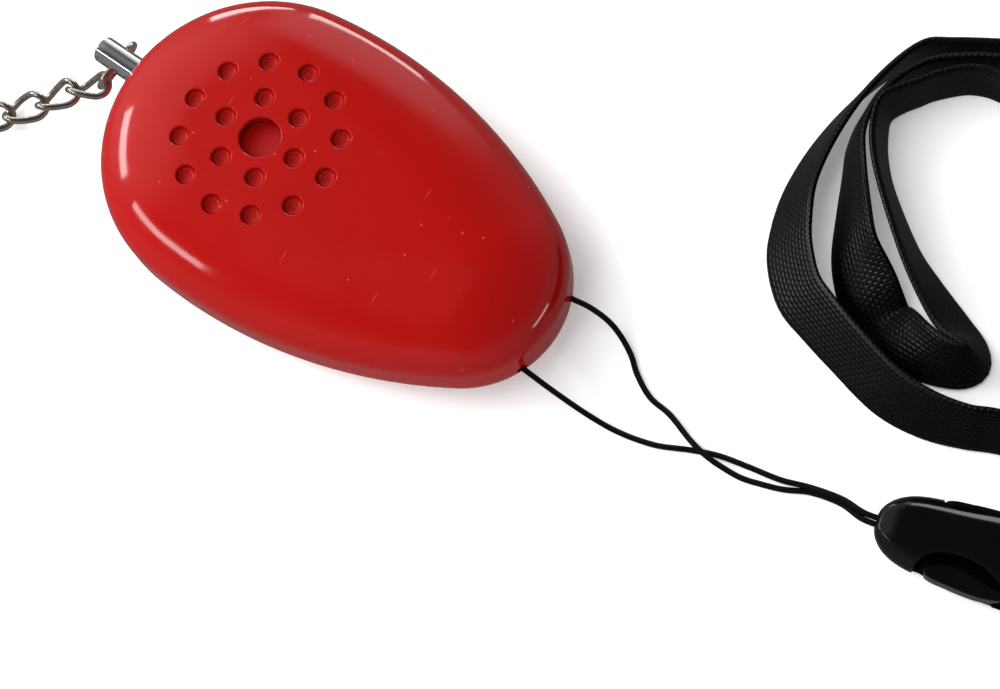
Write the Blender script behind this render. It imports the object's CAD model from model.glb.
from math import asin, atan2, ceil, cos, degrees, pi, radians, sin, sqrt

import bmesh
import bpy
import numpy as np
from mathutils import Matrix, Vector


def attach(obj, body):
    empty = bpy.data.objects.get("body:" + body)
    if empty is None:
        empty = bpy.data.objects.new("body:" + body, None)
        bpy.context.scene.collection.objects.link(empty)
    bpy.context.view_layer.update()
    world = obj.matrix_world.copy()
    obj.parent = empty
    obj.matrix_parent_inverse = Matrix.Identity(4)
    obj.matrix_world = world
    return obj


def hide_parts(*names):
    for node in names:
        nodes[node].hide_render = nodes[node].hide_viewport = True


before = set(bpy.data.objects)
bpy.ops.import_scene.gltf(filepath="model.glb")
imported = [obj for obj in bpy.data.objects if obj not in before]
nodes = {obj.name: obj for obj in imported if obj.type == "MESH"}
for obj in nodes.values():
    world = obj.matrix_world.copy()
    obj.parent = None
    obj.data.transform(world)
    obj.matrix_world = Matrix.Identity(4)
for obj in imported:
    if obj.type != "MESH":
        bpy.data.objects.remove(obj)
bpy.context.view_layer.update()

scene = bpy.context.scene
mm = 0.001  # shapes below are worked out in millimetres and scaled when the mesh is made


def linearColour(code):  # sRGB hex to linear
    parts = [int(code[i:i + 2], 16) / 255 for i in (1, 3, 5)]
    return tuple(c / 12.92 if c <= 0.04045 else ((c + 0.055) / 1.055) ** 2.4 for c in parts) + (1.0,)


def scaleFor(size):  # scale of a pattern from its real size in millimetres
    return 1000 / size


def joinNodes(tree, node, links):  # a whole node as the source stands for its first output
    for key, source in links.items():
        for one in (source if isinstance(source, list) else [source]):
            tree.links.new(one.outputs[0] if isinstance(one, bpy.types.Node) else one, node.inputs[key])


def addNode(tree, kind, settings=None, values=None, links=None):
    node = tree.nodes.new(kind)
    for key, value in (settings or {}).items():
        setattr(node, key, value)
    for key, value in (values or {}).items():
        node.inputs[key].default_value = value
    joinNodes(tree, node, links or {})
    return node


def startMaterial(name, values):
    material = bpy.data.materials.new(name)
    material.use_nodes = True
    tree = material.node_tree
    shader = tree.nodes["Principled BSDF"]
    for key, value in values.items():
        shader.inputs[key].default_value = value
    return material, tree, shader


def startTree(name, sockets):
    tree = bpy.data.node_groups.new(name, "GeometryNodeTree")
    for way in ("INPUT", "OUTPUT"):
        tree.interface.new_socket("Geometry", in_out=way, socket_type="NodeSocketGeometry")
    for kind, labels in sockets.items():
        for label in labels:
            tree.interface.new_socket(label, in_out="INPUT", socket_type="NodeSocket" + kind)
    return tree, tree.nodes.new("NodeGroupInput").outputs, tree.nodes.new("NodeGroupOutput")


def shift(x, y, z):
    return Matrix.Translation((x * mm, y * mm, z * mm))


def turn(axis, angle):
    return Matrix.Rotation(radians(angle), 4, axis)


def addObject(name, data):
    item = bpy.data.objects.new(name, data)
    scene.collection.objects.link(item)
    return item


def tidyMesh(mesh, weld=0.0):
    work = bmesh.new()
    work.from_mesh(mesh)
    if weld:
        bmesh.ops.remove_doubles(work, verts=work.verts, dist=weld)
    bmesh.ops.recalc_face_normals(work, faces=work.faces)
    work.to_mesh(mesh)
    work.free()
    return mesh


def makeMesh(name, points, faces, cornerUv=None):
    mesh = bpy.data.meshes.new(name)
    mesh.from_pydata([tuple(c * mm for c in p) for p in points], [], faces)
    if cornerUv is not None:
        layer = mesh.uv_layers.new(name="lengthAndWidth")
        layer.data.foreach_set("uv", np.array(cornerUv, float).ravel())
    return tidyMesh(mesh)


def smoothMesh(mesh, sharpAngle):
    mesh.shade_smooth()
    mesh.set_sharp_from_angle(angle=radians(sharpAngle))
    return mesh


def placePiece(name, mesh, body, material, node):
    mesh.name = name
    mesh.materials.clear()
    mesh.materials.append(material)
    piece = addObject(name, mesh)
    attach(piece, body)
    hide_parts(node)
    return piece


def evaluated(mesh, addModifiers):  # runs modifiers on a throwaway object and keeps only the mesh
    holder = addObject("bench", mesh)
    helpers = addModifiers(holder) or []
    graph = bpy.context.evaluated_depsgraph_get()
    result = bpy.data.meshes.new_from_object(holder.evaluated_get(graph))
    for used in [holder] + helpers:
        bpy.data.objects.remove(used)
    return result


def carve(mesh, cutters, operation="DIFFERENCE"):
    def addModifiers(holder):
        tools = [addObject("cutter", cutter) for cutter in cutters]
        for tool in tools:
            modifier = holder.modifiers.new("cut", "BOOLEAN")
            modifier.object = tool
            modifier.operation = operation
            modifier.solver = "EXACT"
        return tools
    return evaluated(mesh, addModifiers)


def runTree(tree, values, mesh=None):
    def addModifiers(holder):
        modifier = holder.modifiers.new("tree", "NODES")
        modifier.node_group = tree
        for item in tree.interface.items_tree:
            if item.item_type == "SOCKET" and item.in_out == "INPUT" and item.name in values:
                modifier[item.identifier] = values[item.name]
    return evaluated(mesh or bpy.data.meshes.new("empty"), addModifiers)


def arcOf(x, y, radius, angles):
    return [(x + radius * cos(radians(a)), y + radius * sin(radians(a))) for a in angles]


def circleOf(radius, count):
    return arcOf(0, 0, radius, [360 * k / count for k in range(count)])


def bandFaces(base, rows, around):  # quads between rows of points that each run once round
    return [(base + r * around + j, base + r * around + (j + 1) % around,
             base + (r + 1) * around + (j + 1) % around, base + (r + 1) * around + j)
            for r in range(rows - 1) for j in range(around)]


def turned(profile, around=64):  # lathe a list of (radius, height) round Z
    points, rows = [], []
    for radius, height in profile:
        if radius < 1e-9:
            rows.append([len(points)] * around)
            points.append((0, 0, height))
        else:
            rows.append(list(range(len(points), len(points) + around)))
            points += [(x, y, height) for x, y in circleOf(radius, around)]
    faces = [list(dict.fromkeys((low[k], low[(k + 1) % around], high[(k + 1) % around], high[k])))
             for low, high in zip(rows, rows[1:]) for k in range(around)]
    return makeMesh("turned", points, [f for f in faces if len(f) > 2])


def prism(outline, low, high):
    count = len(outline)
    points = [(x, y, z) for z in (low, high) for x, y in outline]
    faces = [tuple(range(count)), tuple(range(count, 2 * count))]
    return makeMesh("prism", points, faces + bandFaces(0, 2, count))


def boxOf(first, last, half, high):
    return prism([(first, -half), (last, -half), (last, half), (first, half)], -high, high)


def drill(radius, length, place, around=64):
    mesh = turned([(0, 0), (radius, 0), (radius, length), (0, length)], around)
    mesh.transform(place)
    return mesh


def joined(meshes):
    work = bmesh.new()
    for mesh in meshes:
        work.from_mesh(mesh)
    result = bpy.data.meshes.new("joined")
    work.to_mesh(result)
    work.free()
    return result


def smoothLine(points, gap):  # the curve of the solids, passed through every point
    points = [np.array(p, float) for p in points]
    line = []
    for i in range(len(points) - 1):
        a, b, c, d = points[max(i - 1, 0)], points[i], points[i + 1], points[min(i + 2, len(points) - 1)]
        steps = max(1, ceil(np.linalg.norm((c - b)[:3]) / gap))
        for t in (k / steps for k in range(steps)):
            line.append(0.5 * (2 * b + (c - a) * t + (2 * a - 5 * b + 4 * c - d) * t ** 2
                               + (3 * b - a - 3 * c + d) * t ** 3))
    return np.array(line + [points[-1]])


def lengthOf(line):
    return float(np.sum(np.linalg.norm(np.diff(line, axis=0), axis=1)))


def directionsOf(line, closed):
    ahead = np.roll(line, -1, 0) - np.roll(line, 1, 0)
    if not closed:
        ahead[0], ahead[-1] = line[1] - line[0], line[-1] - line[-2]
    return ahead / np.linalg.norm(ahead, axis=1)[:, None]


def carriedSides(line):  # sides that turn as little as possible along the line
    ahead = directionsOf(line, False)
    side = np.cross(ahead[0], (0.0, 0.0, 1.0))
    sides = []
    for t in ahead:
        side = side - t * (side @ t)
        side /= np.linalg.norm(side)
        sides.append(side)
    return np.array(sides)


def sweep(name, line, sides, section, closed):
    count, rim = len(line), len(section)
    ahead = directionsOf(line, closed)
    across = sides - ahead * np.sum(sides * ahead, axis=1)[:, None]
    across /= np.linalg.norm(across, axis=1)[:, None]
    up = np.cross(ahead, across)
    outline = np.array(section, float)
    points = line[:, None] + across[:, None] * outline[None, :, 0, None] + up[:, None] * outline[None, :, 1, None]
    along, girth = (np.concatenate([[0], np.cumsum(np.linalg.norm(np.roll(path, -1, 0) - path, axis=1))])
                    for path in (line, outline))
    faces, cornerUv = [], []
    for i in range(count if closed else count - 1):
        k = (i + 1) % count
        for j in range(rim):
            n = (j + 1) % rim
            faces.append((i * rim + j, k * rim + j, k * rim + n, i * rim + n))
            cornerUv += [(along[i], girth[j]), (along[i + 1], girth[j]),
                         (along[i + 1], girth[j + 1]), (along[i], girth[j + 1])]
    if not closed:
        for row in (0, count - 1):
            faces.append(tuple(row * rim + j for j in range(rim)))
            cornerUv += [(along[row], girth[j]) for j in range(rim)]
    return makeMesh(name, points.reshape(-1, 3), faces, cornerUv)


# camera fitted to the photograph on the housing's outline, grille and cords
cameraSet = {
    "place": (0.139324, -0.072046, 0.341422),
    "right": (0.813, 0.56397, -0.14482),
    "down": (0.50099, -0.80427, -0.31962),
    "ahead": (-0.29673, 0.1873, -0.93641),
    "lens": 86.4,
    "sensor": 36.0,
    "clip": (0.01, 20.0),
}
cameraData = bpy.data.cameras.new("photoCamera")
cameraData.lens, cameraData.sensor_width = cameraSet["lens"], cameraSet["sensor"]
cameraData.sensor_fit = "HORIZONTAL"
cameraData.clip_start, cameraData.clip_end = cameraSet["clip"]
camera = addObject("photoCamera", cameraData)
cameraAxes = Matrix((cameraSet["right"], -Vector(cameraSet["down"]), -Vector(cameraSet["ahead"]))).transposed()
camera.matrix_world = Matrix.Translation(cameraSet["place"]) @ cameraAxes.to_4x4()
scene.camera = camera
print("camera set")


# ABS, injection moulded in a polished tool: deep even red, glossy, with faint moulded ripple and handling marks
redAbs, tree, shader = startMaterial("redAbsPolishedMoulding", {"IOR": 1.53})
place = addNode(tree, "ShaderNodeTexCoord").outputs["Object"]
cloud = addNode(tree, "ShaderNodeTexNoise", None, {"Scale": scaleFor(14), "Detail": 3.0}, {"Vector": place})
tint = addNode(tree, "ShaderNodeMix", {"data_type": "RGBA"},
               {6: linearColour("#930A08"), 7: linearColour("#9E0D0A")}, {0: cloud})
dust = addNode(tree, "ShaderNodeTexVoronoi", None, {"Scale": scaleFor(2.6)}, {"Vector": place})
speck = addNode(tree, "ShaderNodeMapRange", None, {"From Min": 0.085, "From Max": 0.05, "To Max": 0.32},
                {"Value": dust})
stretch = addNode(tree, "ShaderNodeMapping", None, {"Rotation": (0, 0, radians(63)), "Scale": (1, 0.08, 1)},
                  {"Vector": place})
scrape = addNode(tree, "ShaderNodeTexVoronoi", {"voronoi_dimensions": "2D"}, {"Scale": scaleFor(2.2)},
                 {"Vector": stretch})
scratch = addNode(tree, "ShaderNodeMapRange", None, {"From Min": 0.04, "From Max": 0.02, "To Max": 0.25},
                  {"Value": scrape})
facing = addNode(tree, "ShaderNodeSeparateXYZ",
                 links={"Vector": addNode(tree, "ShaderNodeNewGeometry").outputs["Normal"]})
flatOnly = addNode(tree, "ShaderNodeMapRange", None, {"From Min": 0.85, "From Max": 0.95},
                   {"Value": facing.outputs["Z"]})
scratched = addNode(tree, "ShaderNodeMath", {"operation": "MULTIPLY"}, links={0: scratch, 1: flatOnly})
few = []  # only some cells keep their mark
for pattern, mark, share in ((dust, speck, 0.55), (scrape, scratched, 0.86)):
    lot = addNode(tree, "ShaderNodeSeparateColor", links={"Color": pattern.outputs["Color"]})
    kept = addNode(tree, "ShaderNodeMath", {"operation": "GREATER_THAN"}, {1: share}, {0: lot})
    few.append(addNode(tree, "ShaderNodeMath", {"operation": "MULTIPLY"}, links={0: mark, 1: kept}))
marks = addNode(tree, "ShaderNodeMath", {"operation": "MAXIMUM"}, links={0: few[0], 1: few[1]})
dusted = addNode(tree, "ShaderNodeMix", {"data_type": "RGBA"}, {7: linearColour("#D9736A")},
                 {0: marks, 6: tint.outputs[2]})
haze = addNode(tree, "ShaderNodeTexNoise", None, {"Scale": scaleFor(5), "Detail": 5.0, "Roughness": 0.65},
               {"Vector": place})
gloss = addNode(tree, "ShaderNodeMapRange", None,
                {"From Min": 0.3, "From Max": 0.7, "To Min": 0.06, "To Max": 0.11}, {"Value": haze})
ripple = addNode(tree, "ShaderNodeTexNoise", None, {"Scale": scaleFor(1.6)}, {"Vector": place})
relief = addNode(tree, "ShaderNodeBump", None, {"Strength": 0.05, "Distance": 0.02 * mm}, {"Height": ripple})
joinNodes(tree, shader, {"Base Color": dusted.outputs[2], "Roughness": gloss, "Normal": relief})

# acetal, moulded: deep black, slippery gloss, faint flow marks
blackAcetal, tree, shader = startMaterial("blackAcetalMoulding", {"IOR": 1.48})
place = addNode(tree, "ShaderNodeTexCoord").outputs["Object"]
flow = addNode(tree, "ShaderNodeTexNoise", None, {"Scale": scaleFor(6), "Detail": 4.0}, {"Vector": place})
tint = addNode(tree, "ShaderNodeMix", {"data_type": "RGBA"},
               {6: linearColour("#020203"), 7: linearColour("#060608")}, {0: flow})
gloss = addNode(tree, "ShaderNodeMapRange", None,
                {"From Min": 0.3, "From Max": 0.7, "To Min": 0.08, "To Max": 0.15}, {"Value": flow})
peel = addNode(tree, "ShaderNodeTexNoise", None, {"Scale": scaleFor(0.9)}, {"Vector": place})
relief = addNode(tree, "ShaderNodeBump", None, {"Strength": 0.06, "Distance": 0.02 * mm}, {"Height": peel})
joinNodes(tree, shader, {"Base Color": tint.outputs[2], "Roughness": gloss, "Normal": relief})

# polyester, woven into webbing or braided into cord: the webbing very black and dull with rows of oval floats, the
# cord with soft gloss and slanting strands; length and row of a float in mm, gap between floats, slant, three tones,
# relief and its depth in mm
yarnSet = {
    "blackPolyesterWebbing": (0.95, 0.75, 0.26, 0, ("#020204", "#050507", "#000001"), 0.55, 0.14,
                              {"Roughness": 0.44, "Specular IOR Level": 0.08, "Sheen Weight": 0.005,
                               "Sheen Roughness": 0.4}),
    "blackBraidedCord": (0.45, 0.28, 0.07, 38, ("#040406", "#0A0B0D", "#010102"), 0.7, 0.08,
                         {"Roughness": 0.5, "Specular IOR Level": 0.2}),
}
finishes = {}
for name, (pick, row, gap, slant, tones, strength, depth, surface) in yarnSet.items():
    finishes[name], tree, shader = startMaterial(name, {"IOR": 1.5, **surface})
    place = addNode(tree, "ShaderNodeUVMap", {"uv_map": "lengthAndWidth"})
    slanted = addNode(tree, "ShaderNodeMapping", None, {"Rotation": (0, 0, radians(slant))}, {"Vector": place})
    weave = addNode(tree, "ShaderNodeTexBrick", None, {
        **dict(zip(("Color1", "Color2", "Mortar"), map(linearColour, tones))), "Scale": 1.0, "Mortar Size": gap,
        "Mortar Smooth": 1.0, "Brick Width": pick, "Row Height": row}, {"Vector": slanted})
    relief = addNode(tree, "ShaderNodeBump", {"invert": True}, {"Strength": strength, "Distance": depth * mm},
                     {"Height": weave.outputs["Fac"]})
    joinNodes(tree, shader, {"Base Color": weave, "Normal": relief})

# plain metals and board finishes: name, dark and light tone, metallic, roughness from and to, mark size in mm, relief
finishSet = {
    "chromePlatedSteel": ("#C9CACC", "#E4E5E7", 1.0, 0.05, 0.12, 3.0, 0.02),  # turned, polished and plated
    "nickelPlatedWire": ("#B5A798", "#E0D8CE", 1.0, 0.12, 0.26, 1.4, 0.12),  # drawn wire, dulled by handling
    "zincPlatedScrew": ("#9A9C9E", "#B9BABB", 1.0, 0.28, 0.42, 0.8, 0.1),  # rolled thread, stamped cross
    "redLacqueredSounderDisc": ("#940604", "#9E0806", 0.0, 0.45, 0.6, 2.0, 0.05),  # rolled brass sheet, sprayed
    "sinteredCeramic": ("#B9B7AE", "#CFCDC4", 0.0, 0.55, 0.7, 0.5, 0.15),  # fired, silvered and matt
    "blackNylonMoulding": ("#101012", "#18181B", 0.0, 0.45, 0.6, 0.7, 0.15),  # moulded in a spark-eroded tool
    "greenSolderMask": ("#0E3A1E", "#145027", 0.0, 0.25, 0.4, 1.2, 0.08),  # screened lacquer over laminate
    "enamelledCopperWinding": ("#7A3F17", "#A05A24", 0.7, 0.25, 0.4, 0.3, 0.4),  # wound wire, lacquered
    "blueCanSleeve": ("#12163A", "#1A2050", 0.0, 0.25, 0.4, 1.0, 0.05),  # heat-shrunk film
    "nickelPlatedContact": ("#B4B2AC", "#CBC9C4", 1.0, 0.2, 0.35, 0.9, 0.08),  # stamped spring strip
    "greyCellSleeve": ("#26282C", "#33363B", 0.0, 0.25, 0.38, 4.0, 0.05),  # shrunk film without print
}
for name, (dark, light, metallic, smoothest, roughest, mark, depth) in finishSet.items():
    finishes[name], tree, shader = startMaterial(name, {"Metallic": metallic})
    place = addNode(tree, "ShaderNodeTexCoord").outputs["Object"]
    cloud = addNode(tree, "ShaderNodeTexNoise", None, {"Scale": scaleFor(mark), "Detail": 4.0, "Roughness": 0.6},
                    {"Vector": place})
    tint = addNode(tree, "ShaderNodeMix", {"data_type": "RGBA"}, {6: linearColour(dark), 7: linearColour(light)},
                   {0: cloud})
    wear = addNode(tree, "ShaderNodeMapRange", None,
                   {"From Min": 0.3, "From Max": 0.7, "To Min": smoothest, "To Max": roughest}, {"Value": cloud})
    relief = addNode(tree, "ShaderNodeBump", None, {"Strength": depth, "Distance": 0.03 * mm}, {"Height": cloud})
    joinNodes(tree, shader, {"Base Color": tint.outputs[2], "Roughness": wear, "Normal": relief})
blackWebbing, blackBraid = finishes["blackPolyesterWebbing"], finishes["blackBraidedCord"]
print("materials made")


# buckle frame: s runs from the nose to the strap, t to the left, heights from the table
buckleSet = {"nose": (93.2, 2.5), "heading": 14.0, "midZ": 3.0, "barS": 35.1, "layer": 2.0}
buckleCos, buckleSin = cos(radians(buckleSet["heading"])), sin(radians(buckleSet["heading"]))
barS, midZ = buckleSet["barS"], buckleSet["midZ"]


def onBuckle(s, t, z):
    noseX, noseY = buckleSet["nose"]
    return (noseX + s * buckleCos - t * buckleSin, noseY + s * buckleSin + t * buckleCos, z)


buckleFrame = shift(*onBuckle(0, 0, midZ)) @ turn("Z", buckleSet["heading"])

# the two cords, from the bight round the inner post, out of the housing and along the table to the knot
cordSet = {"d": 0.9, "z": 7.2, "exitX": 38.9, "exitY": 6.5, "gap": 0.5, "sides": 14, "crease": 60, "holeR": 0.85,
           "holeLong": 17.4, "holeSides": 32, "bight": [(31.05, 0), (31.6, 1.7), (33.4, 3.4), (35.2, 5.4), (36.8, 6.3)]}
cordRoutes = {
    "strandA": (1, "cord_strand_a", [
        (41.3, 6.95, 6.3), (43.9, 7.3, 3.6), (46.3, 6.8, 1.6), (49.2, 5.25, 0.7), (51.7, 3.2, 0.5), (55.3, 1.25, 0.5),
        (59.3, 0.55, 0.6), (64.1, -1.25, 1.3), (67.3, -2.05, 1.6), (70, -2.15, 1), (73.3, -1.95, 0.5),
        (76.3, -1.2, 0.5), (79.6, -0.1, 0.5), (83.2, 1.65, 0.5), (87.9, 2.35, 1.55),
        onBuckle(-1.2, -0.46, 3), onBuckle(3.7, -0.5, 3)]),
    "strandB": (-1, "cord_strand_b", [
        (44, -6.55, 5), (49.7, -6.25, 2), (54.6, -5.75, 0.7), (60, -4.5, 0.5), (64.8, -2.35, 0.5), (69, -0.8, 0.5),
        (73.7, 0.1, 0.5), (78.4, 0.9, 0.5), (83.1, 2.2, 1.15), (87.8, 2.9, 2.1),
        onBuckle(-1.2, 0.46, 3.1), onBuckle(3.7, 0.5, 3)]),
}
cordSection = circleOf(cordSet["d"] / 2, cordSet["sides"])
cordPieces, cordLines = {}, {}
for name, (side, node, route) in cordRoutes.items():
    inside = cordSet["bight"] + [(cordSet["exitX"], cordSet["exitY"])]
    line = smoothLine([(x, side * y, cordSet["z"]) for x, y in inside] + route, cordSet["gap"])
    mesh = smoothMesh(sweep(name, line, carriedSides(line), cordSection, False), cordSet["crease"])
    cordPieces[name] = placePiece(name, mesh, "housing", blackBraid, node)
    cordLines[name] = line

# overhand knot of the same cord, drawn up inside the buckle's nose
knotSet = {"from": 3.9, "long": 3.1, "reach": 1.02, "swell": 1.25, "cord": 0.34, "sides": 12, "steps": 120,
           "slant": 0.3}
knotLine = []
for k in range(knotSet["steps"]):
    a = 2 * pi * k / knotSet["steps"]
    spread = knotSet["reach"] * (2 + cos(3 * a)) / 3 * knotSet["swell"]
    along = (sin(3 * a) * 0.5 + 0.5) * (knotSet["long"] - 2 * knotSet["cord"]) + knotSet["cord"]
    knotLine.append((along, spread * cos(2 * a), spread * sin(2 * a)))
knotLine = np.array(knotLine)
knotSides = np.array([1.0, 0.0, 0.0]) + knotSet["slant"] * knotLine
knotMesh = sweep("cordKnot", knotLine, knotSides, circleOf(knotSet["cord"], knotSet["sides"]), True)
knotMesh.transform(buckleFrame @ shift(knotSet["from"], 0, 0))
cordKnot = placePiece("cordKnot", smoothMesh(knotMesh, cordSet["crease"]), "housing", blackBraid,
                      "cord_knot")
print("cords laid", {name: round(lengthOf(line), 1) for name, line in cordLines.items()})


# neck strap, one band from the plug's bar and back to it: x, y, how far the upper edge leans to the left in degrees,
# and how high the lower edge is lifted
strapSet = {"width": 10.0, "thick": 1.0, "gap": 0.9, "across": 9, "crease": 50}
strapOut = [onBuckle(s, 0, 0)[:2] + (90, 0.5) for s in (barS, barS + 4)] + [
    (138, 14.4, 55, 0.3), (142.6, 16.8, 15), (145, 20.6), (142.4, 25), (135, 27), (124, 27.4, -5), (112, 25.6, -14),
    (101.8, 22.7, -21), (97.2, 20.8, -22), (91.4, 19.5, -28), (84.7, 19.6, -33), (76.2, 22, -35), (70.3, 24, -38),
    (65.7, 26, -42), (61.7, 29.9, -43), (59.3, 33.9, -39), (57.1, 40, -31), (56.3, 47.5, -25), (56.8, 55.8, -18),
    (58.6, 63.2, -12), (61.2, 68.2, -6), (64.8, 70.3, -2), (71.1, 73.6), (81, 78.6), (92, 84.4), (103, 90)]
coilSet = {"mid": (114, 66), "outR": 22, "tighten": 5, "lead": 180, "turn": 504, "step": 24}
coilTurns = [(270 - a, a) for a in range(-coilSet["lead"], coilSet["turn"] + 1, coilSet["step"])]
coilTurns += [(90 - a, a) for a in range(coilSet["turn"], -1, -coilSet["step"])]
strapCoil = [arcOf(*coilSet["mid"], coilSet["outR"] - coilSet["tighten"] * a / 180, [at])[0] for at, a in coilTurns]
strapBack = [
    (98, 83), (86, 77), (76.5, 73), (71.5, 71.1), (67.4, 68.9, 2), (63.5, 66, 4), (60.7, 61.6, 8), (59.3, 56, 12),
    (60.2, 50.8, 14), (62.4, 46.6, 18), (65.9, 40.8, 29), (69.2, 36, 42), (73.6, 32.2, 64), (78, 28.8, 84),
    (82.6, 27.6, 58), (86.6, 27.3, 36), (89.6, 27.5, 27), (92.2, 28.6, 24), (93.2, 30.4, 23), (91.6, 32.2, 27),
    (87.4, 33.5, 37), (81, 36.8, 30), (75.4, 40.4, 21), (67.8, 46.8, 15), (63.9, 51.2, 13), (61.7, 55.2, 10),
    (61.3, 57.8, 5), (62.5, 60, 1), (64.2, 62.3), (65.9, 64.6), (69.8, 68), (74.3, 69.2), (79, 68.4), (84, 65),
    (87.5, 59.5), (90.6, 52.5), (96.4, 45), (105, 38), (117, 33.6), (131, 32), (143, 31), (151, 26.6), (153.4, 19.4),
    (149.6, 13.4, -10), (143, 11.8, -45, 0.6)] + [onBuckle(s, 0, 0)[:2] + (-90, 4.5) for s in (barS + 6, barS)]
strapRoute = [(*p, 0, 0)[:4] for p in strapOut + strapCoil + strapBack]
strapFlat = smoothLine([(x, y, lift, lean) for x, y, lean, lift in strapRoute], strapSet["gap"])
half, edge = strapSet["width"] / 2, strapSet["thick"] / 2
lean = np.radians(strapFlat[:, 3])
strapLie = np.column_stack([strapFlat[:, :2], strapFlat[:, 2] + half * np.cos(lean) + edge * np.abs(np.sin(lean))])
ahead = directionsOf(strapLie, False)
left = np.column_stack([-ahead[:, 1], ahead[:, 0], np.zeros(len(ahead))])
left /= np.linalg.norm(left, axis=1)[:, None]
strapSides = np.array([0.0, 0.0, 1.0]) * np.cos(lean)[:, None] + left * np.sin(lean)[:, None]
fold = np.array([onBuckle(s, 0, z) for s, z in arcOf(barS, midZ, buckleSet["layer"], range(100, 261, 10))])
strapLine = np.vstack([strapLie, fold])
strapSides = np.vstack([strapSides, np.tile((-buckleSin, buckleCos, 0.0), (len(fold), 1))])
strapSection = arcOf(half - edge, 0, edge, range(-60, 61, 30))
strapSection += [(t, edge) for t in np.linspace(half - edge, edge - half, strapSet["across"])]
strapSection += arcOf(edge - half, 0, edge, range(120, 241, 30))
strapSection += [(t, -edge) for t in np.linspace(edge - half, half - edge, strapSet["across"])]
strapMesh = smoothMesh(sweep("neckStrap", strapLine, strapSides, strapSection, True), strapSet["crease"])
neckStrap = placePiece("neckStrap", strapMesh, "plug", blackWebbing, "neck_strap")


# pebble housing: outline of two end circles and two side arcs, profile of a rim arc and a flatter crown arc;
# front and rear give the height over the joint and the crown's radius, core how far inner parts reach past the joint
housingSet = {"len": 79.6, "jointZ": 9.5, "wideR": 24.7, "narrowR": 16.4, "sideR": 82.0, "wall": 2.0, "rimR": 6.0,
              "rimTurn": 60.0, "front": (10.5, 26.0), "rear": (9.5, 17.0), "chamfer": 0.06, "lip": (1.0, 1.3),
              "skin": 1.1, "overlap": 0.1, "core": 6.0, "spacing": 0.62, "wallRows": (0.35, 0.7), "rimRows": 16,
              "crownRows": 30, "flatRows": 12, "flatMid": 3.0, "weld": 1e-7, "crease": 35}
jointZ, wall, chamfer, rimR = (housingSet[key] for key in ("jointZ", "wall", "chamfer", "rimR"))
wideR, narrowR, sideR = (housingSet[key] for key in ("wideR", "narrowR", "sideR"))
rimTurn = radians(housingSet["rimTurn"])
wideX, narrowX = wideR - housingSet["len"] / 2, housingSet["len"] / 2 - narrowR
endGap = narrowX - wideX
sideDx = ((sideR - wideR) ** 2 - (sideR - narrowR) ** 2 + endGap ** 2) / (2 * endGap)
sideDy = sqrt((sideR - wideR) ** 2 - sideDx ** 2)
wideTurn, narrowTurn = atan2(sideDy, -sideDx), atan2(sideDy, endGap - sideDx)
outlineArcs = [(narrowX, 0.0, narrowR, -narrowTurn, narrowTurn),
               (wideX + sideDx, -sideDy, sideR, narrowTurn, wideTurn),
               (wideX, 0.0, wideR, wideTurn, 2 * pi - wideTurn),
               (wideX + sideDx, sideDy, sideR, 2 * pi - wideTurn, 2 * pi - narrowTurn)]
outlineSpots = []
for x, y, radius, first, last in outlineArcs:
    steps = round(radius * (last - first) / housingSet["spacing"])
    outlineSpots += [(x, y, radius, first + (last - first) * k / steps) for k in range(steps)]
around = len(outlineSpots)


def domeArcs(dome):  # inset and height of the crown's centre, and the height where the rim arc starts
    height, crownR = dome
    return (rimR + (crownR - rimR) * cos(rimTurn), height - crownR, height - crownR + (crownR - rimR) * sin(rimTurn))


def domeRows(dome, thin):  # inset and height above the joint, from the straight wall to the flat
    crownIn, crownZ, straight = domeArcs(dome)
    rows = [(thin, straight * f) for f in housingSet["wallRows"]]
    for k in range(housingSet["rimRows"] + 1):
        a = rimTurn * k / housingSet["rimRows"]
        rows.append((rimR - (rimR - thin) * cos(a), straight + (rimR - thin) * sin(a)))
    for k in range(1, housingSet["crownRows"] + 1):
        a = rimTurn + (pi / 2 - rimTurn) * k / housingSet["crownRows"]
        rows.append((crownIn - (dome[1] - thin) * cos(a), crownZ + (dome[1] - thin) * sin(a)))
    return rows


def domePoints(rows, sign):
    return [(x + (radius - inset) * cos(a), y + (radius - inset) * sin(a), jointZ + sign * z)
            for inset, z in rows for x, y, radius, a in outlineSpots]


def domeShell(outer, inner, sign):  # outer and inner rows joined at the joint line into one closed wall
    points, faces, bases = [], [], []
    midX, flatRows = wideX + housingSet["flatMid"], housingSet["flatRows"]
    for rows in (outer, inner):
        bases.append(len(points))
        points += domePoints(rows, sign)
        rim = points[-around:]
        for k in range(1, flatRows):  # the flat is closed towards one middle point
            f = 1 - k / flatRows
            points += [(midX + (x - midX) * f, y * f, z) for x, y, z in rim]
        last = len(points) - around
        points.append((midX, 0.0, rim[0][2]))
        faces += bandFaces(bases[-1], len(rows) + flatRows - 1, around)
        faces += [(last + j, last + (j + 1) % around, len(points) - 1) for j in range(around)]
    faces += [(j, (j + 1) % around, bases[1] + (j + 1) % around, bases[1] + j) for j in range(around)]
    return makeMesh("dome", points, faces)


def insideOf(node, dome, thin, sign):  # what the solid has inside its wall: posts, ribs and seats
    copy = tidyMesh(nodes[node].data.copy(), housingSet["weld"])
    rows = [(thin, -housingSet["core"])] + domeRows(dome, thin)
    caps = [tuple(range(around)), tuple((len(rows) - 1) * around + j for j in range(around))]
    core = makeMesh("core", domePoints(rows, sign), bandFaces(0, len(rows), around) + caps)
    return carve(copy, [core], "INTERSECT")


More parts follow.
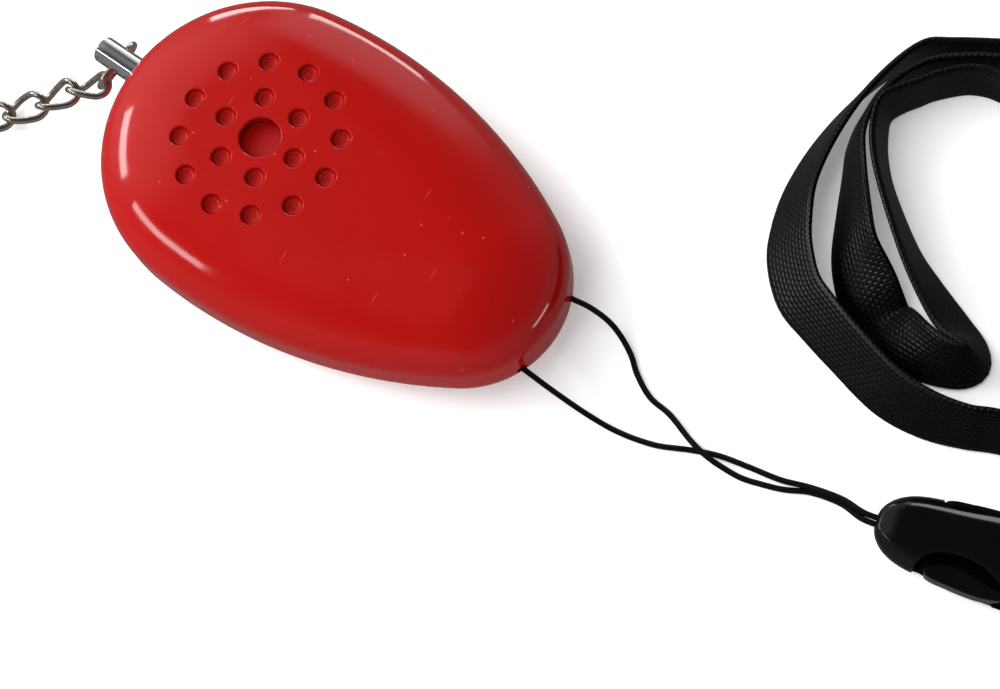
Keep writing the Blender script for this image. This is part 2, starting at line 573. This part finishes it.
def polishDome(mesh, dome, sign):  # true dome normals on the outside, whatever the cuts left of its faces
    smoothMesh(mesh, housingSet["crease"])
    count, nearDome, alike = len(mesh.vertices), 0.02, 0.95
    spots = np.empty(count * 3)
    mesh.vertices.foreach_get("co", spots)
    spots = spots.reshape(-1, 3) / mm
    inset, outward = np.full(count, 1e6), np.zeros((count, 2))
    for x, y, radius, first, last in outlineArcs:
        reach = spots[:, :2] - (x, y)
        away = np.linalg.norm(reach, axis=1)
        within = (np.arctan2(reach[:, 1], reach[:, 0]) - first) % (2 * pi) <= last - first
        take = within & (radius - away < inset)
        inset[take] = (radius - away)[take]
        outward[take] = (reach / np.maximum(away, 1e-9)[:, None])[take]
    crownIn, crownZ, straight = domeArcs(dome)
    level = sign * (spots[:, 2] - jointZ)
    onCrown = inset > rimR - rimR * cos(rimTurn)
    midIn, midZ, arcR = (np.where(onCrown, *pair) for pair in ((crownIn, rimR), (crownZ, straight), (dome[1], rimR)))
    lean, rise = np.maximum(midIn - inset, 0), np.maximum(level - midZ, 0)
    outside = (np.abs(np.hypot(lean, rise) - arcR) < nearDome) & (level > chamfer / 2)
    normals = np.column_stack([outward * lean[:, None], sign * rise])
    normals /= np.maximum(np.linalg.norm(normals, axis=1), 1e-9)[:, None]
    corners, facets = len(mesh.loops), len(mesh.polygons)
    ends, shown = np.empty(corners, int), np.empty(corners * 3)
    faceWay, sizes = np.empty(facets * 3), np.empty(facets, int)
    mesh.loops.foreach_get("vertex_index", ends)
    mesh.corner_normals.foreach_get("vector", shown)
    mesh.polygons.foreach_get("normal", faceWay)
    mesh.polygons.foreach_get("loop_total", sizes)
    shown, faceWay = shown.reshape(-1, 3), np.repeat(faceWay.reshape(-1, 3), sizes, 0)
    take = outside[ends] & (np.sum(faceWay * normals[ends], axis=1) > alike)
    shown[take] = normals[ends][take]
    mesh.normals_split_custom_set(shown.tolist())
    return mesh


# pull pin, turned a little in the plane of the table: rounded end, cross hole, shank and snap groove; the shank is
# given by inset and way past the head, the cross hole by radius and distance from the pin's axis
pinSet = {"tip": -48.2, "r": 2.2, "head": 10.3, "shankR": 1.25, "round": 0.45, "bevel": 0.2, "swing": -2.4,
          "shank": [(0, 0), (0, 8.6), (0.35, 9.1), (0.35, 9.7), (0, 10.3), (0, 11.0)], "point": (0.3, 12.0),
          "crossX": -44.6, "cross": [(1.1, 4), (1.1, 2.21), (0.95, 2.0), (0.8, 1.75)], "around": 128, "crease": 35,
          "wayX": -40.8, "wayR": 2.3, "wayLong": 4.0}
pinTurn = shift(wideX, 0, 0) @ turn("Z", pinSet["swing"]) @ shift(-wideX, 0, 0)
pinWay = drill(pinSet["wayR"], pinSet["wayLong"], pinTurn @ shift(pinSet["wayX"], 0, jointZ) @ turn("Y", 90))

# front half: one open sound hole ringed by blind dimples, each with a rounded rim and set square to the surface;
# the dimples and the hole are given by radius, depth and the radius at their foot
grilleSet = {"Centre X": -12.2 * mm, "Inner Radius": 6.5 * mm, "Outer Radius": 12.5 * mm, "Inner Count": 6,
             "Outer Count": 12}
sinkSet = {"rim": 0.35, "over": 0.25, "flare": 0.05, "startZ": 17, "rayUp": 50, "Dimple Shape": (1.5, 1.2, 0.9),
           "Hole Shape": (3.2, 3.4, 0.05)}
sinkTools = {}
for shape in ("Dimple Shape", "Hole Shape"):
    (radius, depth, foot), rim, over = sinkSet[shape], sinkSet["rim"], sinkSet["over"]
    profile = [(0, -depth)] + arcOf(radius - foot, foot - depth, foot, range(-90, 1, 15))
    profile += arcOf(radius + rim, -rim, rim, range(180, 90, -15))
    profile += [(radius + rim, 0.0), (radius + rim + sinkSet["flare"], over), (0, over)]
    sinkTools[shape] = addObject("sinkTool", turned(profile))
tree, given, result = startTree("soundHoleAndDimples", {
    "Float": ["Centre X", "Inner Radius", "Outer Radius"], "Int": ["Inner Count", "Outer Count"], "Object": sinkTools})
centre = addNode(tree, "ShaderNodeCombineXYZ", None, {"Z": sinkSet["startZ"] * mm}, {"X": given["Centre X"]})
rings = [addNode(tree, "GeometryNodeMeshCircle", links={
    "Vertices": given[ring + " Count"], "Radius": given[ring + " Radius"]}) for ring in ("Inner", "Outer")]
ringSpots = addNode(tree, "GeometryNodeJoinGeometry", links={"Geometry": rings})
oneSpot = addNode(tree, "GeometryNodeMeshLine", {"mode": "OFFSET"}, {"Count": 1})
here = addNode(tree, "GeometryNodeInputPosition")
above = addNode(tree, "ShaderNodeVectorMath", {"operation": "ADD"}, {1: (0, 0, sinkSet["rayUp"] * mm)}, {0: here})
ray = addNode(tree, "GeometryNodeRaycast", None, {"Ray Direction": (0, 0, -1), "Ray Length": 1.0},
              {"Target Geometry": given["Geometry"], "Source Position": above})
square = addNode(tree, "FunctionNodeAlignRotationToVector", {"axis": "Z"}, links={"Vector": ray.outputs["Hit Normal"]})
cutters = []
for spots, shape in ((ringSpots, "Dimple Shape"), (oneSpot, "Hole Shape")):
    moved = addNode(tree, "GeometryNodeTransform", links={"Geometry": spots, "Translation": centre})
    onFace = addNode(tree, "GeometryNodeSetPosition",
                     links={"Geometry": moved, "Position": ray.outputs["Hit Position"]})
    tool = addNode(tree, "GeometryNodeObjectInfo", {"transform_space": "ORIGINAL"}, links={"Object": given[shape]})
    cutters.append(addNode(tree, "GeometryNodeInstanceOnPoints", links={
        "Points": onFace, "Instance": tool.outputs["Geometry"], "Rotation": square}))
allCutters = addNode(tree, "GeometryNodeJoinGeometry", links={"Geometry": cutters})
solidCutters = addNode(tree, "GeometryNodeRealizeInstances", links={"Geometry": allCutters})
cut = addNode(tree, "GeometryNodeMeshBoolean", {"operation": "DIFFERENCE", "solver": "EXACT"},
              links={"Mesh 1": given["Geometry"], "Mesh 2": solidCutters})
real = addNode(tree, "GeometryNodeRealizeInstances", links={"Geometry": cut})
dressed = addNode(tree, "GeometryNodeSetMaterial", None, {"Material": redAbs}, {"Geometry": real})
joinNodes(tree, result, {"Geometry": dressed})

# the front shell has a lip at the joint, the rear one a thin skin over the inside of its solid
jointRows = [(chamfer, 0.0), (0.0, chamfer)]
front, rear, skin = housingSet["front"], housingSet["rear"], housingSet["skin"]
lipIn, lipH = housingSet["lip"]
frontOuter = jointRows + domeRows(front, 0.0)
frontInner = [(lipIn, 0.0), (lipIn, lipH), (wall, lipH)] + domeRows(front, wall)[2:]
frontWall = runTree(tree, {**grilleSet, **sinkTools}, carve(domeShell(frontOuter, frontInner, 1), [pinWay]))
frontMesh = joined([frontWall, insideOf("front_shell", front, wall - housingSet["overlap"], 1)])
placePiece("frontHousing", polishDome(frontMesh, front, 1), "housing", redAbs, "front_shell")
for tool in sinkTools.values():
    bpy.data.objects.remove(tool)
print("front housing made", len(frontMesh.polygons))

# rear half and battery door: door opening, screw wells, cord holes and half of the pin's way; bores are given by
# radius and length
doorSet = {"x0": -23.2, "x1": 26.7, "half": 11.15, "corner": 3.0, "tabX": -26.2, "tabW": 8.0, "gap": 0.15,
           "low": -1.0, "high": 8.5, "step": 6, "bores": [(1.1, 4.0), (2.0, 2.5)]}
wellSet = {"spots": [(-28.0, 13.0), (-28.0, -13.0), (33.8, 0.0)], "bore": (2.0, 5.5)}


def doorBlock(grow):
    x0, x1, wide = doorSet["x0"] - grow, doorSet["x1"] + grow, doorSet["half"] + grow
    corner, tab, step = doorSet["corner"] + grow, doorSet["tabW"] / 2 + grow, doorSet["step"]
    left, right, top = x0 + corner, x1 - corner, wide - corner
    corners = [arcOf(x, y, corner, range(first, first + 91, step)) for x, y, first in (
        (right, top, 0), (left, top, 90), (left, -top, 180), (right, -top, 270))]
    tabArc = arcOf(doorSet["tabX"], 0, tab, range(90, 271, step))
    outline = corners[0] + corners[1] + [(x0, tab)] + tabArc + [(x0, -tab)] + corners[2] + corners[3]
    return prism(outline, doorSet["low"], doorSet["high"])


rearOuter = jointRows + domeRows(rear, 0.0)
rearSkin, rearInner = ([(thin, 0.0)] + domeRows(rear, thin) for thin in (skin, wall))
rearCuts = [doorBlock(doorSet["gap"]), pinWay]
rearCuts += [drill(*wellSet["bore"], shift(x, y, doorSet["low"])) for x, y in wellSet["spots"]]
rearCuts += [drill(cordSet["holeR"], cordSet["holeLong"], shift(
    narrowX, side * cordSet["exitY"], cordSet["z"]) @ turn("Y", 90), cordSet["holeSides"]) for side in (-1, 1)]
rearWall = carve(domeShell(rearOuter, rearSkin, -1), rearCuts)
rearMesh = joined([rearWall, insideOf("rear_shell", rear, skin - housingSet["overlap"], -1)])
placePiece("rearHousing", polishDome(rearMesh, rear, -1), "housing", redAbs, "rear_shell")
doorMesh = carve(domeShell(rearOuter, rearInner, -1), [doorBlock(0.0)], "INTERSECT")
screwPlace = shift(doorSet["tabX"], 0, doorSet["low"])
doorMesh = carve(doorMesh, [drill(*bore, screwPlace) for bore in doorSet["bores"]])
placePiece("batteryCover", polishDome(doorMesh, rear, -1), "door", redAbs, "battery_door")
print("rear housing and battery cover made", len(rearMesh.polygons), len(doorMesh.polygons))

# the pin on its axis, then laid down and cross drilled
pinR, head, rounded, bevel = (pinSet[key] for key in ("r", "head", "round", "bevel"))
pinProfile = [(0, 0)] + arcOf(pinR - rounded, rounded, rounded, range(-90, 1, 10))
pinProfile += [(pinR, head * f) for f in (0.2, 0.4, 0.6, 0.8)] + [(pinR, head - bevel), (pinR - bevel, head)]
pinProfile += [(pinSet["shankR"] - inset, head + past) for inset, past in pinSet["shank"]]
pinProfile += [(r, head + pinSet["point"][1]) for r in (pinSet["point"][0], 0)]
pinMesh = turned(pinProfile, pinSet["around"])
pinMesh.transform(pinTurn @ shift(pinSet["tip"], 0, jointZ) @ turn("Y", 90))
crossHalf = [(0, pinSet["cross"][0][1])] + pinSet["cross"]
crossCut = turned([(r, -off) for r, off in crossHalf] + crossHalf[::-1])
crossCut.transform(pinTurn @ shift(pinSet["crossX"], 0, jointZ) @ turn("X", -90))
pinMesh = smoothMesh(carve(pinMesh, [crossCut]), pinSet["crease"])
placePiece("pullPin", pinMesh, "pin", finishes["chromePlatedSteel"], "pull_pin")

# bent wire ovals: the loop, six twisted curb links and the end ring, all from one tree; its sums are listed by name,
# operation and terms
chainSet = {"wire": 1.1, "linkLen": 8.6, "linkW": 5.2, "play": 0.16, "twist": 45.0, "crease": 60, "gap": 0.2,
            "bendSteps": 96, "wireSides": 24, "loopLen": 9.6, "loopW": 5.0, "loopMidY": -0.6, "loopRest": 20.0,
            "hookShift": (0, 0.35, -0.25), "headings": [211, 226, 222, 222, 222, 222],
            "slopes": [19, 18, 14, 4, -2, -4], "rolls": [30, 15, 0, 0, 15, 30],
            "roundings": [0.15, 0.3, 0.35, 0.35, 0.35, 0.25], "ringD": 24.0, "ringWire": 1.3}
ovalTree, given, result = startTree("bentWireOval", {"Float": ["Wire", "Length", "Width", "Rounding", "Twist"]})
here = addNode(ovalTree, "GeometryNodeInputPosition")
spot = addNode(ovalTree, "ShaderNodeSeparateXYZ", links={"Vector": here})
sums = {label: given[label] for label in ("Wire", "Length", "Width", "Rounding", "Twist")}
sums["x"] = spot
for name, operation, *terms in (
        ("bore", "SUBTRACT", "Width", "Wire"), ("bend", "MULTIPLY", "bore", 0.5),
        ("legs", "SUBTRACT", "Length", "Width"), ("leg", "MULTIPLY", "legs", 0.5), ("side", "SIGN", "x"),
        ("unrounded", "SUBTRACT", 1.0, "Rounding"), ("straight", "MULTIPLY", "leg", "unrounded"),
        ("legShare", "DIVIDE", "leg", "bend"), ("stretch", "MULTIPLY_ADD", "legShare", "Rounding", 1.0),
        ("bowed", "MULTIPLY", "x", "stretch"), ("apart", "MULTIPLY_ADD", "side", "straight", "bowed"),
        ("span", "SUBTRACT", "Length", "Wire"), ("share", "DIVIDE", "x", "span"),
        ("double", "MULTIPLY", "share", 2.0), ("angle", "MULTIPLY", "double", "Twist"),
        ("gauge", "MULTIPLY", "Wire", 0.5)):
    sums[name] = addNode(ovalTree, "ShaderNodeMath", {"operation": operation},
                         {k: term for k, term in enumerate(terms) if not isinstance(term, str)},
                         {k: sums[term] for k, term in enumerate(terms) if isinstance(term, str)})
circle, section = (addNode(ovalTree, "GeometryNodeCurvePrimitiveCircle", None, {"Resolution": chainSet[count]},
                           {"Radius": sums[radius]})
                   for count, radius in (("bendSteps", "bend"), ("wireSides", "gauge")))
spread = addNode(ovalTree, "ShaderNodeCombineXYZ",
                 links={"X": sums["apart"], "Y": spot.outputs["Y"], "Z": spot.outputs["Z"]})
oval = addNode(ovalTree, "GeometryNodeSetPosition", links={"Geometry": circle, "Position": spread})
even = addNode(ovalTree, "GeometryNodeResampleCurve", {"mode": "LENGTH"}, {"Length": chainSet["gap"] * mm},
               {"Curve": oval})
wrung = addNode(ovalTree, "ShaderNodeVectorRotate", {"rotation_type": "X_AXIS"},
                links={"Vector": here, "Angle": sums["angle"]})
twisted = addNode(ovalTree, "GeometryNodeSetPosition", links={"Geometry": even, "Position": wrung})
bent = addNode(ovalTree, "GeometryNodeCurveToMesh", links={"Curve": twisted, "Profile Curve": section})
real = addNode(ovalTree, "GeometryNodeRealizeInstances", links={"Geometry": bent})
dressed = addNode(ovalTree, "GeometryNodeSetMaterial", None, {"Material": finishes["nickelPlatedWire"]},
                  {"Geometry": real})
joinNodes(ovalTree, result, {"Geometry": dressed})


def wireOval(name, wireD, length, width, rounding, twist, place, body, node):
    mesh = runTree(ovalTree, {"Wire": wireD * mm, "Length": length * mm, "Width": width * mm, "Rounding": rounding,
                              "Twist": radians(twist)})
    mesh.transform(place)
    mesh = smoothMesh(tidyMesh(mesh), chainSet["crease"])
    placePiece(name, mesh, body, finishes["nickelPlatedWire"], node)


wire, play, linkLen, loopLen, loopW = (chainSet[key] for key in ("wire", "play", "linkLen", "loopLen", "loopW"))
crossX, loopMidY, loopRest = pinSet["crossX"], chainSet["loopMidY"], chainSet["loopRest"]
loopBend = (loopW - wire) / 2
loopPlace = (pinTurn @ shift(crossX, loopMidY, jointZ) @ turn("Y", loopRest) @ shift(0, 0, -loopBend)
             @ turn("Y", 90) @ turn("Z", 90))
wireOval("pinLoop", wire, loopLen, loopW, 0, 0, loopPlace, "loop", "pin_loop")
hook = pinTurn @ Vector(((crossX - loopBend * sin(radians(loopRest))) * mm, (loopMidY - (loopLen - wire) / 2) * mm,
                         (jointZ - loopBend * cos(radians(loopRest))) * mm))
hook = hook / mm + Vector(chainSet["hookShift"])
clearance = (wire + play) / 2
joint = None
linkSets = zip(*(chainSet[key] for key in ("headings", "slopes", "rolls", "roundings")))
for i, (heading, slope, roll, rounding) in enumerate(linkSets, 1):
    h, s = radians(heading), radians(slope)
    ahead = Vector((cos(s) * cos(h), cos(s) * sin(h), -sin(s)))
    joint = hook - ahead * clearance if joint is None else joint
    middle = joint + ahead * ((linkLen - wire) / 2 - clearance)
    wireOval(f"chainLink{i}", wire, linkLen, chainSet["linkW"], rounding, chainSet["twist"],
             shift(*middle) @ turn("Z", heading) @ turn("Y", slope) @ turn("X", roll),
             f"chain_link_{i}", f"chain_link_{i}")
    joint = joint + ahead * (linkLen - 2 * wire - play)
ringD, ringWire = chainSet["ringD"], chainSet["ringWire"]
ringR = (ringD - ringWire) / 2
reach = ringR - (ringWire + play) / 2
ringMid = (joint[0] + reach * cos(h), joint[1] + reach * sin(h), (joint[2] + ringWire / 2) / 2)
ringTilt = degrees(asin((joint[2] - ringWire / 2) / (2 * ringR)))
ringPlace = shift(*ringMid) @ turn("Z", heading) @ turn("Y", ringTilt)
wireOval("endRing", ringWire, ringD, ringD, 0, 0, ringPlace, "ring", "key_ring")
print("pin, loop, links and ring made")


# side-release buckle: lofted bodies with a flat top panel, then pockets, recesses and moulded edges; stations give
# place, half width and half height, side the shares of both from the waist up to the panel, bores their start, radius
# and length
socketSet = {"stations": [(0.55, 1.35, 1.3), (0.8, 2.05, 1.7), (1.3, 2.85, 2.1), (2.1, 3.7, 2.45), (3.1, 4.4, 2.75),
                          (4.5, 5.05, 2.95), (6.4, 5.55, 3), (9, 5.9, 3), (13, 6.35, 3), (17, 6.95, 3), (20.5, 7.4, 3),
                          (23.2, 7.5, 3), (24, 7.3, 2.8)],
             "side": [(1, 0), (0.985, 0.22), (0.94, 0.42), (0.86, 0.62), (0.74, 0.8), (0.6, 0.94), (0.46, 1)],
             "recess": [(7.4, 9), (7.45, 5.7), (8.2, 3.9), (9.5, 2.7), (11.5, 1.95), (13.8, 1.8), (16, 2.1),
                        (18, 2.85), (19.8, 4), (21, 5.5), (21.3, 9)],
             "pocket": [(9, 4.2), (13, 5.25), (20, 6.15), (25, 6.15)], "bores": [(-1, 1.15, 4.8), (3.6, 2.0, 6.0)],
             "slotFrom": 8.85, "slot": 1.6, "openTop": 5, "loftGap": 0.4, "sideGap": 0.06, "topCells": 9,
             "lineGap": 0.3, "boreSides": 48}
mouldSet = {"shell": (0.16, 3), "arm": (0.11, 6), "soften": 0.5}  # grain in mm and rounds of smoothing
sideBevel = smoothLine(socketSet["side"], socketSet["sideGap"])


def loftOf(stations):
    panel, cells, points = socketSet["side"][-1][0], socketSet["topCells"], []
    for s, wide, high in smoothLine(stations, socketSet["loftGap"]):
        corner = [(wide * across, high * up) for across, up in sideBevel]
        top = [(wide * panel * (1 - 2 * k / cells), high) for k in range(1, cells)]
        upper = corner + top + [(-t, z) for t, z in corner[::-1]]
        ring = upper + [(-t, -z) for t, z in upper[1:-1]]
        points += [(s, t, z) for t, z in ring]
    rim = len(ring)
    caps = [tuple(range(rim)), tuple(range(len(points) - rim, len(points)))]
    return makeMesh("loft", points, bandFaces(0, len(points) // rim, rim) + caps)


def moulded(mesh, kind):  # small even radius on every edge, as a moulding tool leaves
    def addModifiers(holder):
        remesh = holder.modifiers.new("grain", "REMESH")
        remesh.mode = "VOXEL"
        soften = holder.modifiers.new("edges", "SMOOTH")
        remesh.voxel_size, soften.iterations = mouldSet[kind][0] * mm, mouldSet[kind][1]
        soften.factor = mouldSet["soften"]
    result = evaluated(mesh, addModifiers)
    result.transform(buckleFrame)
    result.shade_smooth()
    return result


slot, pocket, sides = socketSet["slot"], socketSet["pocket"], socketSet["boreSides"]
socketCuts = [drill(radius, length, shift(s, 0, 0) @ turn("Y", 90), sides) for s, radius, length in socketSet["bores"]]
socketCuts.append(prism([(s, -t) for s, t in pocket] + pocket[::-1], -slot, slot))
recess = smoothLine(socketSet["recess"], socketSet["lineGap"])
# the thumb pad on one side shows from above, the other one only from the side
for side, first, top in ((-1, 0, socketSet["openTop"]), (1, socketSet["slotFrom"], slot)):
    socketCuts.append(prism([(max(s, first), side * t) for s, t in recess], -slot, top))
socketMesh = moulded(carve(loftOf(socketSet["stations"]), socketCuts), "shell")
buckleSocket = placePiece("buckleSocket", socketMesh, "housing", blackAcetal, "buckle_socket")

# squeeze arms: a leg from the plug and a broad thumb pad that fills the recess
armSet = {"line": [(24.1, 3.5), (21.5, 4.4), (19.5, 4.7), (17.5, 4.2), (15, 3.6), (12, 3.4), (10, 4), (9.1, 4.9),
                   (9.3, 5.6), (10.5, 6), (12.5, 6.2), (14.5, 6.4), (16.5, 6.5), (18.5, 6.4), (20, 6.15),
                   (21.5, 5.75), (24.1, 5.2)], "half": 1.5}
armLine = smoothLine(armSet["line"], socketSet["lineGap"])
for side, name, body in ((1, "Left", "arm_left"), (-1, "Right", "arm_right")):
    armMesh = moulded(prism([(s, side * t) for s, t in armLine], -armSet["half"], armSet["half"]), "arm")
    placePiece("squeezeArm" + name, armMesh, body, blackAcetal, "plug_" + body)

# plug: the tongue that enters the socket, and the bar that holds the strap
plugSet = {"stations": [(24.3, 7.3, 2.8), (25.1, 7.5, 3), (28.3, 7.4, 2.9), (32.3, 7.1, 2.4), (35.9, 6.8, 1.9),
                        (36.9, 6.3, 1.3)], "bar": 2.4, "barIn": 0.5, "slotHalf": 5.5, "slot": 3.4, "slotEnd": 6,
           "slotHigh": 10, "tongue": (12, 25.3, 1.2, 1.3)}
bar, slotHalf, barIn = plugSet["bar"], plugSet["slotHalf"], plugSet["barIn"]
strapSlot = boxOf(barS - bar / 2 - plugSet["slot"], barS + plugSet["slotEnd"], slotHalf, plugSet["slotHigh"])
barRod = drill(bar / 2, 2 * (slotHalf + barIn), shift(barS, -(slotHalf + barIn), 0) @ turn("X", -90), sides)
plugBody = carve(loftOf(plugSet["stations"]), [strapSlot])
plugMesh = moulded(joined([plugBody, barRod, boxOf(*plugSet["tongue"])]), "shell")
placePiece("bucklePlug", plugMesh, "plug", blackAcetal, "buckle_plug")
print("buckle made", len(socketMesh.polygons), len(plugMesh.polygons))


# solids that keep their shape and only get their finish
nodeFinish = {
    "zincPlatedScrew": ["door_screw", "case_screws"], "redLacqueredSounderDisc": ["piezo_disc"],
    "sinteredCeramic": ["piezo_ceramic"], "greenSolderMask": ["circuit_board"],
    "blackNylonMoulding": ["sounder_ring", "control_chip", "driver_transistor", "board_resistors", "pin_socket"],
    "enamelledCopperWinding": ["step_up_coil"], "blueCanSleeve": ["board_capacitor"],
    "nickelPlatedContact": ["switch_leaf_upper", "switch_leaf_lower", "battery_bridge", "spring_terminal",
                            "plate_terminal"],
    "greyCellSleeve": ["battery_cell_a", "battery_cell_b"],
}
for finish, solids in nodeFinish.items():
    for node in solids:
        nodes[node].data.materials.clear()
        nodes[node].data.materials.append(finishes[finish])

for name, (side, node, route) in cordRoutes.items():
    line = cordLines[name]


# white sweep floor of fibrous paper, soft studio light from the front left, and window-like lights that show in gloss
stageSet = {"half": 3000, "drop": 0.02, "fibre": 3}
paper, tree, shader = startMaterial("whiteBackgroundPaper", {"Roughness": 0.9, "Emission Strength": 0.26})
place = addNode(tree, "ShaderNodeTexCoord").outputs["Object"]
fibre = addNode(tree, "ShaderNodeTexNoise", None, {"Scale": scaleFor(stageSet["fibre"]), "Detail": 4.0},
                {"Vector": place})
tint = addNode(tree, "ShaderNodeMix", {"data_type": "RGBA"},
               {6: linearColour("#F1F1F1"), 7: linearColour("#F7F7F7")}, {0: fibre})
joinNodes(tree, shader, {"Base Color": tint.outputs[2]})
half, drop = stageSet["half"], stageSet["drop"]
corners = [(x * half, y * half, -drop) for x, y in ((-1, -1), (1, -1), (1, 1), (-1, 1))]
floorMesh = makeMesh("floor", corners, [(0, 1, 2, 3)])
floorMesh.materials.append(paper)
floor = addObject("floor", floorMesh)
floor.visible_glossy = False  # shiny pieces mirror the dim room instead of the paper

lightSet = {  # middle line from and to, breadth in metres, watts, mirrored by shiny pieces, the only pieces lit
    "keySoftbox": ((-0.75, -0.45, 0.62), (-0.75, 0.2, 0.62), 0.6, 8.5, False, []),
    "overheadSoftbox": ((-0.7, -0.2, 1.1), (0.1, -0.2, 1.1), 0.8, 8.5, False, []),
    "backFill": ((-0.2, 0.85, 0.6), (0.5, 0.85, 0.6), 0.4, 0.6, False, []),
    "frontFill": ((-0.3, -0.85, 0.55), (0.4, -0.85, 0.55), 0.4, 4.0, False, []),
    "leftWindow": ((-0.959, 0.0, 0.284), (-0.837, -0.338, 0.43), 0.09, 0.9, True, []),
    "frontWindow": ((-0.73, -0.474, 0.492), (-0.4, -0.655, 0.645), 0.06, 0.55, True, []),
    "backWindow": ((-0.856, 0.514, 0.06), (-0.615, 0.787, 0.06), 0.1, 0.9, True, []),
    "cornerWindow": ((-0.54, 0.835, 0.12), (-0.27, 0.955, 0.12), 0.2, 1.2, True, []),
    "endWindow": ((0.99, 0.03, 0.05), (0.92, 0.37, 0.05), 0.08, 0.5, True, []),
    "strapSoftbox": ((-0.5, -0.15, 0.85), (-0.75, -0.5, 0.45), 0.34, 28.0, True, [neckStrap]),
    "buckleWindow": ((-0.4, 0.82, 0.42), (-0.13, 0.88, 0.42), 0.3, 0.9, True, [buckleSocket]),
    # light that comes through the thin red shell
    "shellGlow": ((0.164, -0.134, 0.44), (0.204, -0.054, 0.44), 0.08, 1.4, False, [nodes["piezo_disc"]]),
}
for name, (first, last, breadth, watts, mirrored, only) in lightSet.items():
    lamp = bpy.data.lights.new(name, "AREA")
    lamp.shape = "RECTANGLE"
    first, last = Vector(first), Vector(last)
    lamp.size, lamp.size_y, lamp.energy = (last - first).length, breadth, watts
    middle, along = (first + last) / 2, (last - first).normalized()
    back = (middle - along * middle.dot(along)).normalized()
    light = addObject(name, lamp)
    light.matrix_world = Matrix.Translation(middle) @ Matrix((along, back.cross(along), back)).transposed().to_4x4()
    light.visible_glossy, light.visible_camera = mirrored, False
    if only:
        light.light_linking.receiver_collection = bpy.data.collections.new(name + "Only")
        for piece in only:
            light.light_linking.receiver_collection.objects.link(piece)

# dim room that shiny pieces mirror: paler walls, dark ceiling, and soft patches from edge to core in degrees
roomSet = {"overhead": 0.07, "level": 0.28, "table": 0.2, "tone": "#F2F4F6", "ceiling": (0.3, 0.85),
           "ground": (0.02, -0.3), "glows": [((-0.85, 0.1, 0.5), 40, 12, 0.45), ((-0.42, 0.84, 0.34), 22, 4, 0.7)]}
world = bpy.data.worlds.new("studioRoom")
scene.world = world
world.use_nodes = True
tree = world.node_tree
way = addNode(tree, "ShaderNodeTexCoord")
height = addNode(tree, "ShaderNodeSeparateXYZ", links={"Vector": way}).outputs["Z"]
level = roomSet["level"]
glows = [(height, *roomSet["ceiling"], level, roomSet["overhead"]),
         (height, *roomSet["ground"], 0.0, roomSet["table"] - level)]
for towards, edge, core, strength in roomSet["glows"]:
    near = addNode(tree, "ShaderNodeVectorMath", {"operation": "DOT_PRODUCT"},
                   {1: tuple(Vector(towards).normalized())}, {0: way})
    glows.append((near.outputs["Value"], cos(radians(edge)), cos(radians(core)), 0.0, strength))
bright = None
for source, first, last, dim, full in glows:
    glow = addNode(tree, "ShaderNodeMapRange", {"interpolation_type": "SMOOTHSTEP"},
                   {"From Min": first, "From Max": last, "To Min": dim, "To Max": full}, {"Value": source})
    bright = glow if bright is None else addNode(tree, "ShaderNodeMath", {"operation": "ADD"},
                                                 links={0: bright, 1: glow})
backdrop = tree.nodes["Background"]
backdrop.inputs["Color"].default_value = linearColour(roomSet["tone"])
joinNodes(tree, backdrop, {"Strength": bright})
scene.view_settings.view_transform = "Standard"
print("stage lit")
